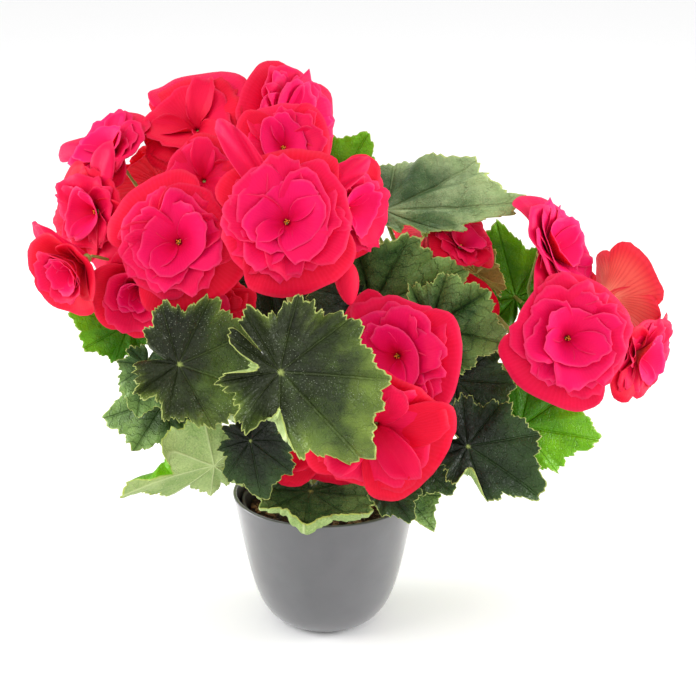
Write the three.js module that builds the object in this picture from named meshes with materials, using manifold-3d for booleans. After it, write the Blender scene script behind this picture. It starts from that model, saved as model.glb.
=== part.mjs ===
// A potted begonia with double, rose-like flowers, in millimetres, +Z up.
// The origin is the centre of the pot's flat foot, and the plant's best side faces -Y.
// A grey cover pot holds a thin nursery pot full of soil. One crown stands in a hole in the soil and
// carries every stem, leaf stalk and flower stalk. Each leaf blade, flower and bud is a solid of its
// own, seated on the end of its stalk.
import * as THREE from "three";
import { mergeVertices } from "three/addons/utils/BufferGeometryUtils.js";
import Module from "manifold-3d";

const wasm = await Module();
wasm.setup();

// Driving dimensions.
const potHeight = 84;
const potRimRadius = 56;
const potFootRadius = 23;
const potWall = 3;
const nurseryWall = 1.2;
const nurseryTop = 79; // just under the cover pot's rim
const nurseryFootRadius = 32;
const nurseryFootHeight = 10.5; // where the cover pot rounds in to this radius
const nurseryLip = 2;
const rimRoom = 2.2; // between the nursery pot's rim and the cover pot's wall
const soilTop = 72;
const crownRadius = 12;
const crownBottom = 58;
const crownTop = 80;
const gap = 0.4; // between pieces that rest on each other
const hubSlack = 0.3; // more room under a leaf, whose blade slopes up from its hub
const smallest = 0.05; // detail finer than this is dropped where solids are joined
const leafThickness = 0.9;
const petalThickness = 0.8;
const mainStemRadius = 3.4;
const leafStalkRadius = 1.7;
const flowerStalkRadius = 1.4;
const budStalkRadius = 1.1;
const stemSteps = 5;
const stemSides = 6;
const leafStalkSides = 5;
const flowerStalkSides = 4;
const stalkStep = 22; // length of stalk from one bend to the next

const degree = Math.PI / 180;
const fullTurn = 2 * Math.PI;
const up = new THREE.Vector3(0, 0, 1);

const finishes = {
  pot: { color: 0x9c9da0, roughness: 0.3, metalness: 0 },
  nursery: { color: 0x2c2926, roughness: 0.55, metalness: 0 },
  soil: { color: 0x2b1f17, roughness: 0.95, metalness: 0 },
  stem: { color: 0x7d8f3a, roughness: 0.5, metalness: 0 },
  leaf: { color: 0x2f5524, roughness: 0.5, metalness: 0 },
  youngLeaf: { color: 0x64a817, roughness: 0.5, metalness: 0 },
  petal: { color: 0xe8143c, roughness: 0.55, metalness: 0 },
};

const part = new THREE.Group();

// A closed solid from points and the triangles that share them.
function solidOf(points, triangles) {
  const vertProperties = new Float32Array(points.length * 3);
  points.forEach((p, i) => p.toArray(vertProperties, i * 3));
  const triVerts = new Uint32Array(triangles.flat());
  return new wasm.Manifold(
    new wasm.Mesh({ numProp: 3, vertProperties, triVerts }),
  );
}

// The solid of a closed three.js geometry.
function solidOfGeometry(geometry) {
  geometry.deleteAttribute("normal");
  geometry.deleteAttribute("uv");
  const merged = mergeVertices(geometry, 1e-4);
  const vertProperties = merged.attributes.position.array;
  const triVerts = new Uint32Array(merged.index.array);
  return new wasm.Manifold(
    new wasm.Mesh({ numProp: 3, vertProperties, triVerts }),
  );
}

// One body out of many: their union, without any loose scrap.
function fused(solids) {
  const bodies = wasm.Manifold.union(solids).asOriginal().simplify(smallest).decompose();
  return bodies.sort((a, b) => b.volume() - a.volume())[0];
}

function addPiece(name, solid, finish) {
  const { vertProperties, triVerts } = solid.getMesh();
  const geometry = new THREE.BufferGeometry();
  const position = new THREE.BufferAttribute(vertProperties, 3);
  geometry.setAttribute("position", position);
  geometry.setIndex(new THREE.BufferAttribute(triVerts, 1));
  geometry.computeVertexNormals();
  const material = new THREE.MeshStandardMaterial(finishes[finish]);
  const mesh = new THREE.Mesh(geometry, material);
  mesh.name = name;
  part.add(mesh);
}

// A body turned about +Z from [radius, height] pairs that close on themselves or end on the axis.
function turned(profile, segments) {
  const points = profile.map(([r, z]) => new THREE.Vector2(r, z));
  const geometry = new THREE.LatheGeometry(points, segments);
  geometry.rotateX(90 * degree);
  return solidOfGeometry(geometry);
}

// A round bar along a curve.
function bar(curve, radius, steps, sides) {
  const section = new THREE.Shape();
  for (let i = 0; i < sides; i++) {
    const angle = (i / sides) * fullTurn;
    const at = [radius * Math.cos(angle), radius * Math.sin(angle)];
    if (i) section.lineTo(...at);
    else section.moveTo(...at);
  }
  const options = { steps, extrudePath: curve, bevelEnabled: false };
  return solidOfGeometry(new THREE.ExtrudeGeometry(section, options));
}

// A thin blade: the surface given by points and triangles, thickened evenly along its normals.
function blade(points, triangles, thickness) {
  const normals = points.map(() => new THREE.Vector3());
  const rim = new Map();
  for (const [a, b, c] of triangles) {
    const ab = points[b].clone().sub(points[a]);
    const ac = points[c].clone().sub(points[a]);
    const normal = ab.cross(ac).normalize();
    for (const i of [a, b, c]) normals[i].add(normal);
    for (const [i, j] of [[a, b], [b, c], [c, a]]) {
      if (!rim.delete(`${j},${i}`)) rim.set(`${i},${j}`, [i, j]);
    }
  }
  normals.forEach((normal) => normal.normalize());
  const side = (way) =>
    points.map((p, i) => p.clone().addScaledVector(normals[i], (way * thickness) / 2));
  const count = points.length;
  const faces = [];
  for (const [a, b, c] of triangles) {
    faces.push([a, b, c], [a + count, c + count, b + count]);
  }
  for (const [i, j] of rim.values()) {
    faces.push([i, i + count, j + count], [i, j + count, j]);
  }
  return solidOf([...side(1), ...side(-1)], faces);
}

// The direction that is azimuth degrees round from -Y towards +X, and elevation degrees up.
function facing([azimuth, elevation]) {
  const a = azimuth * degree;
  const e = elevation * degree;
  return new THREE.Vector3(
    Math.sin(a) * Math.cos(e),
    -Math.cos(a) * Math.cos(e),
    Math.sin(e),
  );
}

// The two pots, and the soil with its plain hole for the crown.
function buildPots() {
  const outer = [
    [0, 0],
    [potFootRadius, 0],
    [32, 4],
    [39.5, 13],
    [45, 28],
    [50, 50],
    [potRimRadius, potHeight],
  ];
  const inner = [
    [potRimRadius - potWall, potHeight],
    [47, 50],
    [42, 29],
    [37, 15],
    [28, 6],
    [19, 4],
    [0, 4],
  ];
  addPiece("pot", turned([...outer, ...inner], 30), "pot");

  const rim = potRimRadius - potWall - rimRoom;
  const neck = rim - nurseryLip;
  const inside = neck - nurseryWall;
  const floorTop = nurseryFootHeight + nurseryWall;
  const nursery = [
    [0, nurseryFootHeight],
    [nurseryFootRadius, nurseryFootHeight],
    [neck, nurseryTop - 6],
    [rim, nurseryTop - 5],
    [rim, nurseryTop],
    [inside, nurseryTop],
    [inside, nurseryTop - 8],
    [nurseryFootRadius - nurseryWall, floorTop],
    [0, floorTop],
  ];
  addPiece("nursery_pot", turned(nursery, 26), "nursery");

  const soilFoot = floorTop + gap;
  const footEdge = nurseryFootRadius - nurseryWall - 1;
  const topEdge = inside - 2.5;
  const soil = [
    [0, soilFoot],
    [footEdge, soilFoot],
    [topEdge, soilTop - 4],
    [topEdge - 5, soilTop],
    [26, soilTop - 2],
    [crownRadius + 2, soilTop],
    [crownRadius + gap, crownBottom - gap],
    [0, crownBottom - gap],
  ];
  addPiece("soil", turned(soil, 24), "soil");
}

// How far a leaf reaches from its stalk at an angle round it, 0 being its tip, as a share of its
// length. It is heart-shaped with one side larger, with shallow lobes at the veins and a notch.
const lobeSpacing = 42 * degree;
function leafReach(angle, skew, tooth) {
  const turn = Math.cos(angle);
  const heart = 0.58 * (1 + 0.28 * turn + 0.1 * Math.cos(2 * angle));
  const tip = 0.14 * Math.exp(-((angle / 0.24) ** 2));
  const lobes = 0.05 * Math.cos((angle / lobeSpacing) * fullTurn);
  const lopsided = 1 + 0.15 * skew * Math.sin(angle);
  const fromNotch = (Math.PI - Math.abs(angle)) / 0.3;
  const notch = 1 - 0.72 * Math.exp(-(fromNotch ** 2));
  return (heart * lopsided + tip + lobes + tooth) * notch;
}

// A leaf's point at share q of the way out from the stalk, in its own frame: x to the tip, z up.
function leafPoint(leaf, length, q, angle, tooth = 0) {
  const out = q * leafReach(angle, leaf.skew, tooth);
  const x = out * Math.cos(angle);
  const y = leaf.broad * out * Math.sin(angle);
  const droop = leaf.droop * Math.max(0, x) ** 2;
  const wave = leaf.wave * q * q * Math.sin(3 * angle + leaf.phase * degree);
  const ripple = 0.5 * leaf.wave * q ** 3 * Math.sin(7 * angle + 2 * leaf.phase * degree);
  const z = leaf.cup * out * out + leaf.fold * Math.abs(y) * q - droop + wave + ripple;
  return new THREE.Vector3(x, y, z).multiplyScalar(length);
}

// The place and axes of a leaf, its z axis being its upper face made square to its midrib.
function leafFrame(leaf) {
  const base = new THREE.Vector3(...leaf.at);
  const x = new THREE.Vector3(...leaf.tip).sub(base);
  const length = x.length();
  x.normalize();
  const z = facing(leaf.face);
  z.addScaledVector(x, -z.dot(x)).normalize();
  const y = z.clone().cross(x);
  const place = new THREE.Matrix4().makeBasis(x, y, z).setPosition(base);
  return { base, z, length, place };
}

// A leaf blade: its hub, a ring half-way out, and an outline with a point at each tooth and between.
const largeLeaf = 45; // length from which the outline has more teeth
const toothDepth = 0.08;
function buildLeaf(leaf) {
  const { length, place } = leafFrame(leaf);
  const innerRing = length > largeLeaf ? 10 : 8;
  const outline = 3 * innerRing;
  const tipTooth = (outline / 2) % 2;
  const points = [leafPoint(leaf, length, 0, 0)];
  for (let i = 0; i < innerRing; i++) {
    const angle = ((i + 0.5) / innerRing - 0.5) * fullTurn;
    points.push(leafPoint(leaf, length, 0.5, angle));
  }
  for (let i = 0; i < outline; i++) {
    const angle = (i / outline - 0.5) * fullTurn;
    const tooth = toothDepth * (i % 2 === tipTooth ? 0.5 : -0.5);
    points.push(leafPoint(leaf, length, 1, angle, tooth));
  }
  const triangles = [];
  for (let i = 0; i < innerRing; i++) {
    const here = 1 + i;
    const next = 1 + ((i + 1) % innerRing);
    const [a, b, c, d] = [1, 2, 3, 4].map((k) => 1 + innerRing + ((3 * i + k) % outline));
    triangles.push([here, a, b], [here, b, c], [next, c, d]);
    if (i < innerRing - 1) triangles.push([0, here, next], [here, c, next]);
    else triangles.push([0, here, c], [0, c, next]); // the notch comes in past the ring
  }
  points.forEach((p) => p.applyMatrix4(place));
  return blade(points, triangles, leafThickness);
}

// A flower's whorls of petals from the outside in: how many petals, their length and width as shares
// of the flower's size, the slope of a petal at its root and at its tip, in degrees up from the
// flower's plane, the whorl's turn, and how far up the heart its petals grow from it.
const guardWhorls = [
  { petals: 3, length: 0.52, width: 0.56, root: 46, tip: -16, turn: 0, grown: 0 },
  { petals: 3, length: 0.49, width: 0.56, root: 52, tip: -6, turn: 60, grown: 3 },
];
const flowerWhorls = {
  small: guardWhorls,
  full: [
    ...guardWhorls,
    { petals: 2, length: 0.38, width: 0.5, root: 66, tip: 20, turn: 25, grown: 6 },
  ],
  cup: [
    { petals: 3, length: 0.6, width: 0.58, root: 66, tip: 16, turn: 0, grown: 0 },
    { petals: 2, length: 0.5, width: 0.5, root: 76, tip: 46, turn: 40, grown: 3 },
  ],
};
const petalStart = 1; // radius at which a petal starts, well inside the heart
const heartRadius = 3.2;
const heartFoot = 1.5; // how far the heart reaches behind the outer petals' roots
const heartHeight = 0.18; // of the flower's size

// A petal's half width at share s of its length: widest past the middle, with a rounded end.
const widest = 0.6;
function petalHalfWidth(s) {
  const start = 0.2 + 0.8 * Math.sin((Math.min(1, s / widest) * Math.PI) / 2);
  return 0.5 * start * Math.sqrt(1 - Math.max(0, (s - widest) / (1 - widest)) ** 2);
}

// A petal's point at share s of its length and t of its half width, in the flower's own frame. The
// petal lies on a cup round the flower's axis, so its edges follow the cup as its middle does.
function petalPoint(whorl, size, turn, s, t) {
  const start = whorl.root * degree;
  const bend = (whorl.tip - whorl.root) * degree;
  const slope = start + bend * s;
  const length = whorl.length * size;
  const out = petalStart + (length * (Math.sin(slope) - Math.sin(start))) / bend;
  const rise = (length * (Math.cos(start) - Math.cos(slope))) / bend;
  const aside = t * petalHalfWidth(s) * whorl.width * size;
  const slant = out / Math.cos(slope);
  const reach = Math.hypot(slant, aside);
  const round = turn + Math.atan2(aside, slant) / Math.cos(slope);
  const flat = reach * Math.cos(slope);
  const lift = whorl.grown + rise + (reach - slant) * Math.sin(slope);
  return new THREE.Vector3(flat * Math.cos(round), flat * Math.sin(round), lift);
}

// One flower: its petals, each a root, a row of three points and three more round its end, and a
// small heart that they stand round.
function buildFlower(flower) {
  const rows = [
    [0, [0]],
    [0.45, [1, 0, -1]],
    [0.86, [1, -1]],
    [1, [0]],
  ];
  const triangles = [
    [0, 2, 1], [0, 3, 2],
    [1, 2, 4], [2, 6, 4], [2, 5, 6], [2, 3, 5],
  ];
  const solids = [];
  for (const whorl of flowerWhorls[flower.kind]) {
    for (let i = 0; i < whorl.petals; i++) {
      const turn = (i / whorl.petals) * fullTurn + whorl.turn * degree;
      const points = rows.flatMap(([s, across]) =>
        across.map((t) => petalPoint(whorl, flower.size, turn, s, t)),
      );
      solids.push(blade(points, triangles, petalThickness));
    }
  }
  const heart = [
    [0, -heartFoot],
    [heartRadius, 0],
    [heartRadius, 0.7 * heartHeight * flower.size],
    [0, heartHeight * flower.size],
  ];
  solids.push(turned(heart, 4));
  return fused(solids)
    .rotate([0, 0, flower.turn])
    .transform(flowerFrame(flower).place.elements);
}

// The place of a piece whose root is at a point and whose own +Z looks in a direction.
function frameOf(root, z) {
  const x = up.clone().cross(z).normalize();
  const y = z.clone().cross(x);
  return new THREE.Matrix4().makeBasis(x, y, z).setPosition(root);
}

// The root and direction of a flower. Its eye, where the viewer looks in, is well above its root.
const eyeHeight = 0.2;
function flowerFrame(flower) {
  const z = facing(flower.face);
  const root = new THREE.Vector3(...flower.eye).addScaledVector(z, -eyeHeight * flower.size);
  return { root, z, place: frameOf(root, z) };
}

// The main stems, as points from the crown up.
const stemRoutes = {
  left: [[-9, -3, 74], [-28, -8, 118], [-50, -14, 168], [-76, -18, 212]],
  centre: [[-2, -5, 74], [-8, -10, 130], [-16, -14, 190], [-24, -10, 246]],
  right: [[9, -3, 74], [38, -2, 112], [78, -2, 146], [120, -4, 170]],
  middle: [[5, 5, 74], [22, 14, 130], [38, 12, 185], [46, 8, 228]],
  back: [[-4, 9, 74], [-16, 32, 120], [-26, 44, 180], [-30, 44, 226]],
  front: [[3, -9, 74], [20, -10, 92], [38, -20, 116]],
};
const mainStems = Object.fromEntries(
  Object.entries(stemRoutes).map(([name, route]) => [
    name,
    new THREE.CatmullRomCurve3(route.map((p) => new THREE.Vector3(...p))),
  ]),
);

// A stalk that leaves a main stem along it and ends just short of what it carries, whose underside
// is at a point and faces away from a direction. It arrives along that direction unless told another.
function stalk(carried, seat, outward, radius, sides) {
  const [stem, share] = carried.from;
  const start = mainStems[stem].getPointAt(share);
  const away = mainStems[stem].getTangentAt(share);
  const arrival = carried.arrive ? facing(carried.arrive) : outward;
  const slant = Math.sin(arrival.angleTo(outward));
  const end = seat.clone().addScaledVector(outward, -gap - radius * slant);
  const reach = start.distanceTo(end);
  const [leave, land] = carried.swing ?? [0.3, 0.35];
  const route = new THREE.CubicBezierCurve3(
    start,
    start.clone().addScaledVector(away, leave * reach),
    end.clone().addScaledVector(arrival, -land * reach),
    end,
  );
  return bar(route, radius, Math.max(3, Math.round(reach / stalkStep)), sides);
}

// Leaves: the stalk end and the tip of each blade, the way its upper face looks, and its stem.
const leafShape = {
  skew: 1, broad: 1, cup: 0.12, fold: 0.08, wave: 0.05, droop: 0.25, finish: "leaf",
};
const leaves = [
  // front
  { at: [-22, -105, 195], tip: [25, -102, 140], face: [0, 22], from: ["centre", 0.62], swing: [0.08, 0.5] },
  { at: [-78, -78, 190], tip: [-22, -72, 168], face: [-5, 20], from: ["left", 0.7] },
  { at: [-33, 13, 215], tip: [-27, 9, 162], face: [0, 10], broad: 0.85, from: ["centre", 0.9] },
  { at: [28, -10, 203], tip: [82, -14, 224], face: [10, 12], from: ["middle", 0.62] },
  { at: [61, -33, 197], tip: [107, -29, 187], face: [15, 20], from: ["right", 0.42], arrive: [0, 70] },
  { at: [35, 24, 251], tip: [117, 14, 263], face: [5, 66], broad: 0.62, from: ["middle", 0.95] },
  { at: [9, 56, 260], tip: [20, 60, 293], face: [0, 20], from: ["middle", 0.85], finish: "youngLeaf" },
  { at: [92, 42, 208], tip: [62, 40, 246], face: [160, 35], broad: 0.5, from: ["right", 0.95] },
  {
    at: [118, 62, 187], tip: [106, 60, 234], face: [0, 25],
    from: ["right", 1], swing: [0.4, 0.2], finish: "youngLeaf",
  },
  { at: [81, -62, 136], tip: [124, -75, 113], face: [10, 35], from: ["right", 0.4] },
  { at: [115, -20, 132], tip: [164, -15, 122], face: [10, 25], from: ["right", 0.6], finish: "youngLeaf" },
  { at: [76, -26, 163], tip: [106, -32, 133], face: [10, 20], from: ["right", 0.5] },
  { at: [52, -36, 116], tip: [76, -46, 101], face: [15, 20], from: ["right", 0.3] },
  { at: [44, -35, 97], tip: [65, -50, 83], face: [30, 50], from: ["front", 0.4] },
  { at: [35, -51, 107], tip: [51, -66, 93], face: [10, 40], from: ["front", 0.7] },
  { at: [-8, -36, 98], tip: [-12, -72, 79], face: [0, 63], broad: 1.7, from: ["front", 0.3] },
  { at: [-41, -60, 139], tip: [-35, -62, 102], face: [-5, 15], from: ["left", 0.3] },
  { at: [-63, -44, 117], tip: [-117, -56, 112], face: [170, 30], from: ["left", 0.08], swing: [0.3, 0.15] },
  { at: [-90, -40, 156], tip: [-128, -40, 144], face: [-15, 15], from: ["left", 0.5] },
  { at: [-112, -20, 195], tip: [-146, -22, 204], face: [-20, 20], from: ["left", 0.75], finish: "youngLeaf" },
  { at: [-99, -50, 180], tip: [-106, -54, 150], face: [-10, 10], from: ["left", 0.6] },
  // back
  { at: [-60, 44, 190], tip: [-120, 74, 180], face: [200, 50], from: ["back", 0.7] },
  { at: [5, 66, 190], tip: [-4, 124, 178], face: [180, 50], from: ["back", 0.8] },
  { at: [60, 62, 186], tip: [84, 118, 178], face: [170, 50], from: ["middle", 0.7] },
  { at: [90, 52, 150], tip: [150, 80, 150], face: [150, 50], from: ["right", 0.7] },
  { at: [-60, 44, 113], tip: [-100, 90, 98], face: [200, 40], from: ["back", 0.3] },
  { at: [16, 60, 116], tip: [20, 118, 98], face: [180, 40], from: ["back", 0.2] },
  { at: [66, 46, 112], tip: [108, 90, 96], face: [150, 40], from: ["right", 0.3] },
  // under the two front flowers
  { at: [15, -25, 212], tip: [-14, -44, 205], face: [0, 45], from: ["centre", 0.7], arrive: [20, 60] },
];

// Flowers: the eye of each, the way it looks, its size, kind and stem.
const flowers = [
  // the left head
  { eye: [-79, -62, 255], face: [-3, 18], size: 75, from: ["left", 1] },
  { eye: [-19, -72, 270], face: [0, 25], size: 80, from: ["centre", 1] },
  { eye: [-75, 4, 309], face: [-20, 45], size: 64, from: ["left", 1] },
  { eye: [-17, 14, 309], face: [45, 25], size: 70, from: ["centre", 1] },
  { eye: [-22, -24, 301], face: [0, 35], size: 53, from: ["centre", 1], kind: "small" },
  { eye: [-66, -33, 284], face: [0, 30], size: 48, from: ["centre", 1], kind: "small" },
  { eye: [-124, 0, 294], face: [-45, 45], size: 56, from: ["left", 1], kind: "small" },
  { eye: [-132, -27, 262], face: [-35, 5], size: 56, from: ["left", 1], kind: "small" },
  {
    eye: [-136, -53, 238], face: [-32, -13], size: 58,
    from: ["left", 0.95], arrive: [-60, 10], swing: [0.1, 0.4], kind: "cup",
  },
  { eye: [-103, -43, 222], face: [-5, -5], size: 59, from: ["left", 1], kind: "cup" },
  { eye: [23, -32, 267], face: [50, 5], size: 62, from: ["centre", 1], kind: "small" },
  { eye: [-62, -42, 212], face: [0, -10], size: 46, from: ["left", 0.9], kind: "small" },
  // the middle
  { eye: [39, -59, 187], face: [-15, 10], size: 77, from: ["front", 0.9], arrive: [-15, 20] },
  { eye: [31, -83, 151], face: [5, -5], size: 82, from: ["front", 1], arrive: [-70, 20], swing: [0.6, 0.4] },
  { eye: [1, -47, 138], face: [0, -5], size: 77, from: ["centre", 0.4] },
  { eye: [82, 12, 236], face: [35, 50], size: 42, from: ["middle", 1], kind: "small" },
  // the right head
  { eye: [140, -45, 194], face: [10, 15], size: 76, from: ["right", 1] },
  { eye: [136, 0, 236], face: [60, 30], size: 70, from: ["right", 1] },
  { eye: [171, 8, 204], face: [125, 15], size: 66, from: ["right", 1], kind: "cup" },
  { eye: [187, -16, 173], face: [45, -8], size: 56, from: ["right", 1], kind: "small" },
  { eye: [82, 10, 195], face: [-10, 15], size: 40, from: ["right", 0.9], kind: "small" },
  // the back
  { eye: [66, 90, 230], face: [160, 30], size: 66, from: ["middle", 1] },
  { eye: [-96, 56, 262], face: [205, 30], size: 76, from: ["back", 1] },
  { eye: [152, 86, 184], face: [140, 20], size: 64, from: ["right", 0.9], kind: "small" },
];

// Buds: the stalk end of each, the way it points, and its length and stem.
const buds = [
  { at: [12, -60, 244], face: [20, -68], size: 25, from: ["centre", 0.8], arrive: [20, -30] },
  { at: [-14, 72, 258], face: [180, -60], size: 22, from: ["back", 1], arrive: [180, -30] },
];

// A bud: two shut petals, as a flattened drop.
function buildBud(bud) {
  const drop = [
    [0, 0],
    [0.3 * bud.size, 0.32 * bud.size],
    [0.26 * bud.size, 0.72 * bud.size],
    [0, bud.size],
  ];
  const flat = new THREE.Matrix4().makeScale(1, 0.6, 1);
  return turned(drop, 6)
    .transform(flat.elements)
    .transform(frameOf(new THREE.Vector3(...bud.at), facing(bud.face)).elements);
}

buildPots();

leaves.forEach((leaf, i) => {
  const made = { ...leafShape, phase: 77 * i, ...leaf };
  addPiece(`leaf_${String(i + 1).padStart(2, "0")}`, buildLeaf(made), made.finish);
});

flowers.forEach((flower, i) => {
  const made = { kind: "full", turn: 47 * i, ...flower };
  addPiece(`bloom_${String(i + 1).padStart(2, "0")}`, buildFlower(made), "petal");
});

buds.forEach((bud, i) => addPiece(`bud_${i + 1}`, buildBud(bud), "petal"));

// The crown, the main stems and every stalk, grown as one.
function buildStems() {
  const crown = [
    [0, crownBottom],
    [0.8 * crownRadius, crownBottom],
    [crownRadius, crownBottom + 5],
    [crownRadius, soilTop],
    [0.7 * crownRadius, crownTop],
    [0, crownTop + 2],
  ];
  const solids = [turned(crown, 10)];
  for (const curve of Object.values(mainStems)) {
    solids.push(bar(curve, mainStemRadius, stemSteps, stemSides));
  }
  for (const leaf of leaves) {
    const { base, z } = leafFrame(leaf);
    const seat = base.clone().addScaledVector(z, -leafThickness / 2 - hubSlack);
    solids.push(stalk(leaf, seat, z, leafStalkRadius, leafStalkSides));
  }
  for (const flower of flowers) {
    const { root, z } = flowerFrame(flower);
    const seat = root.clone().addScaledVector(z, -heartFoot);
    solids.push(stalk(flower, seat, z, flowerStalkRadius, flowerStalkSides));
  }
  for (const bud of buds) {
    const seat = new THREE.Vector3(...bud.at);
    solids.push(stalk(bud, seat, facing(bud.face), budStalkRadius, flowerStalkSides));
  }
  addPiece("stems", fused(solids), "stem");
}
buildStems();

export default part;
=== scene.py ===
# Potted begonia: the looks of the plant and its pots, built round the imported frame
import math
import random

import bmesh
import bpy
from mathutils import Matrix, Vector, noise


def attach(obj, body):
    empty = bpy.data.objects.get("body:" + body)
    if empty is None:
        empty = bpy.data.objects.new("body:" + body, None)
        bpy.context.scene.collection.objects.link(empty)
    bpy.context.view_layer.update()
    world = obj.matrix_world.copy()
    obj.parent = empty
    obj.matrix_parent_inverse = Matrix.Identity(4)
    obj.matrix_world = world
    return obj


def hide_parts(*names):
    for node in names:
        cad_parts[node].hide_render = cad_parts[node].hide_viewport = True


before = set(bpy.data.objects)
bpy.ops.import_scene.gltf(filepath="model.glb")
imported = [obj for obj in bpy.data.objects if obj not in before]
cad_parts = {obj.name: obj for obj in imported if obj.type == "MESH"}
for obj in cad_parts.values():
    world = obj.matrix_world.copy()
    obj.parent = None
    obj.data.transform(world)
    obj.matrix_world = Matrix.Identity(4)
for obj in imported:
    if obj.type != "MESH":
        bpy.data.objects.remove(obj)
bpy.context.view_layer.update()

mm = 0.001  # the plant's own tables are in millimetres, the scene in metres
fullTurn = 2 * math.pi


# Direction a number of degrees round from -Y towards +X, and a number of degrees up
def facing(azimuth, elevation):
    a, e = math.radians(azimuth), math.radians(elevation)
    return Vector((math.sin(a) * math.cos(e), -math.cos(a) * math.cos(e), math.sin(e)))


def addObject(name, data):
    made = bpy.data.objects.new(name, data)
    bpy.context.scene.collection.objects.link(made)
    return made


# Turns a camera or a lamp to look in a direction
def aim(thing, direction):
    thing.rotation_euler = direction.to_track_quat("-Z", "Y").to_euler()


# Camera, at the photograph's angle
cameraSetup = {
    "azimuth": 0,
    "elevation": 18,
    "target": (0.014, 0, 0.174),
    "distance": 1.0,
    "lens": 87.7,  # in millimetres
    "clip": (0.05, 20),
}


def setCamera():
    data = bpy.data.cameras.new("camera")
    data.lens = cameraSetup["lens"]
    data.clip_start, data.clip_end = cameraSetup["clip"]
    camera = addObject("camera", data)
    back = facing(cameraSetup["azimuth"], cameraSetup["elevation"])
    camera.location = Vector(cameraSetup["target"]) + back * cameraSetup["distance"]
    aim(camera, -back)
    bpy.context.scene.camera = camera


setCamera()
print("camera set")


# Materials

# A number that changes over a surface, with ordinary arithmetic
class Number:
    def __init__(self, paint, socket):
        self.paint = paint
        self.socket = socket

    def math(self, operation, *values):
        sockets = dict(enumerate(values))
        made = self.paint.node("ShaderNodeMath", {"operation": operation}, sockets)
        return Number(self.paint, made.outputs[0])

    def __add__(self, other):
        return self.math("ADD", self, other)

    def __radd__(self, other):
        return self.math("ADD", other, self)

    def __sub__(self, other):
        return self.math("SUBTRACT", self, other)

    def __rsub__(self, other):
        return self.math("SUBTRACT", other, self)

    def __mul__(self, other):
        return self.math("MULTIPLY", self, other)

    def __rmul__(self, other):
        return self.math("MULTIPLY", other, self)

    def __truediv__(self, other):
        return self.math("DIVIDE", self, other)

    def __rtruediv__(self, other):
        return self.math("DIVIDE", other, self)

    def __abs__(self):
        return self.math("ABSOLUTE", self)

    def frac(self):
        return self.math("FRACT", self)

    def most(self, other):
        return self.math("MAXIMUM", self, other)

    # 0 at the first value and 1 at the second, smooth between
    def step(self, none, full):
        sockets = {"Value": self, "From Min": none, "From Max": full}
        made = self.paint.node("ShaderNodeMapRange", {"interpolation_type": "SMOOTHSTEP"}, sockets)
        return Number(self.paint, made.outputs["Result"])


# A colour as seen on screen, 0 to 255, as Blender's own linear colour, by the sRGB curve
def colour(red, green, blue):
    def linear(c):
        return c / 255 / 12.92 if c <= 10 else ((c / 255 + 0.055) / 1.055) ** 2.4

    return (linear(red), linear(green), linear(blue), 1)


# A material and its nodes
class Paint:
    def __init__(self, name, **fixed):
        self.material = bpy.data.materials.new(name)
        self.material.use_nodes = True
        self.tree = self.material.node_tree
        self.shader = self.tree.nodes["Principled BSDF"]
        self.finish(**fixed)

    def plug(self, socket, value):
        if isinstance(value, Number):
            value = value.socket
        if isinstance(value, bpy.types.NodeSocket):
            self.tree.links.new(value, socket)
        else:
            socket.default_value = value

    def node(self, kind, settings=None, sockets=None):
        made = self.tree.nodes.new(kind)
        for name, value in (settings or {}).items():
            setattr(made, name, value)
        for key, value in (sockets or {}).items():
            self.plug(made.inputs[key], value)
        return made

    def place(self):
        return self.node("ShaderNodeTexCoord").outputs["Object"]

    # The X, Y and Z of a vector
    def parts(self, vector):
        made = self.node("ShaderNodeSeparateXYZ", None, {0: vector})
        return [Number(self, socket) for socket in made.outputs]

    def uv(self):
        across, along, _ = self.parts(self.node("ShaderNodeUVMap", {"uv_map": "UVMap"}).outputs[0])
        return across, along

    def attribute(self, name):
        return Number(self, self.node("ShaderNodeAttribute", {"attribute_name": name}).outputs["Fac"])

    # Scale in cells to the metre, then how many finer layers there are and how strong they are
    def noise(self, scale, detail=3, rough=0.55):
        sockets = {"Vector": self.place(), "Scale": scale, "Detail": detail, "Roughness": rough}
        return Number(self, self.node("ShaderNodeTexNoise", None, sockets).outputs["Fac"])

    def cloud(self, weight, *noise):
        return self.noise(*noise) * weight

    def cells(self, scale, feature):
        sockets = {"Vector": self.place(), "Scale": scale}
        made = self.node("ShaderNodeTexVoronoi", {"feature": feature}, sockets)
        return Number(self, made.outputs["Distance"])

    # Each colour is a socket or a screen colour. 0, 6 and 7 are the colour mix's factor, A and B
    def mix(self, share, first, second):
        first, second = (colour(*c) if isinstance(c, tuple) else c for c in (first, second))
        made = self.node("ShaderNodeMix", {"data_type": "RGBA"}, {0: share, 6: first, 7: second})
        return made.outputs[2]

    def bump(self, height, distance, strength):
        sockets = {"Height": height, "Distance": distance, "Strength": strength}
        self.finish(Normal=self.node("ShaderNodeBump", None, sockets).outputs[0])

    # Sets or links the shader's own sockets
    def finish(self, **sockets):
        for socket, value in sockets.items():
            self.plug(self.shader.inputs[socket.replace("_", " ")], value)
        return self.material


# In all the finishes below, a noise is its scale, detail and roughness, a cloud is its weight
# and its noise, a fade is where a mask is 0 and where it is 1, and a bump is its height in
# metres and its strength

veinSpacing = 42  # degrees from one main vein of a leaf to the next
veinShare = veinSpacing / 360
veinShape = {
    "main": (0.004, 0.022),
    "side": (0.0, 0.06),
    "side start": (0.1, 0.3),
    "side slant": 0.95,
    "side count": 6.5,
    "side cloud": (0.12, 14, 2),
    "net": (0.0, 0.12),
    "net scale": 420,
    "rim cloud": (0.014, 300, 1),
}


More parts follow.
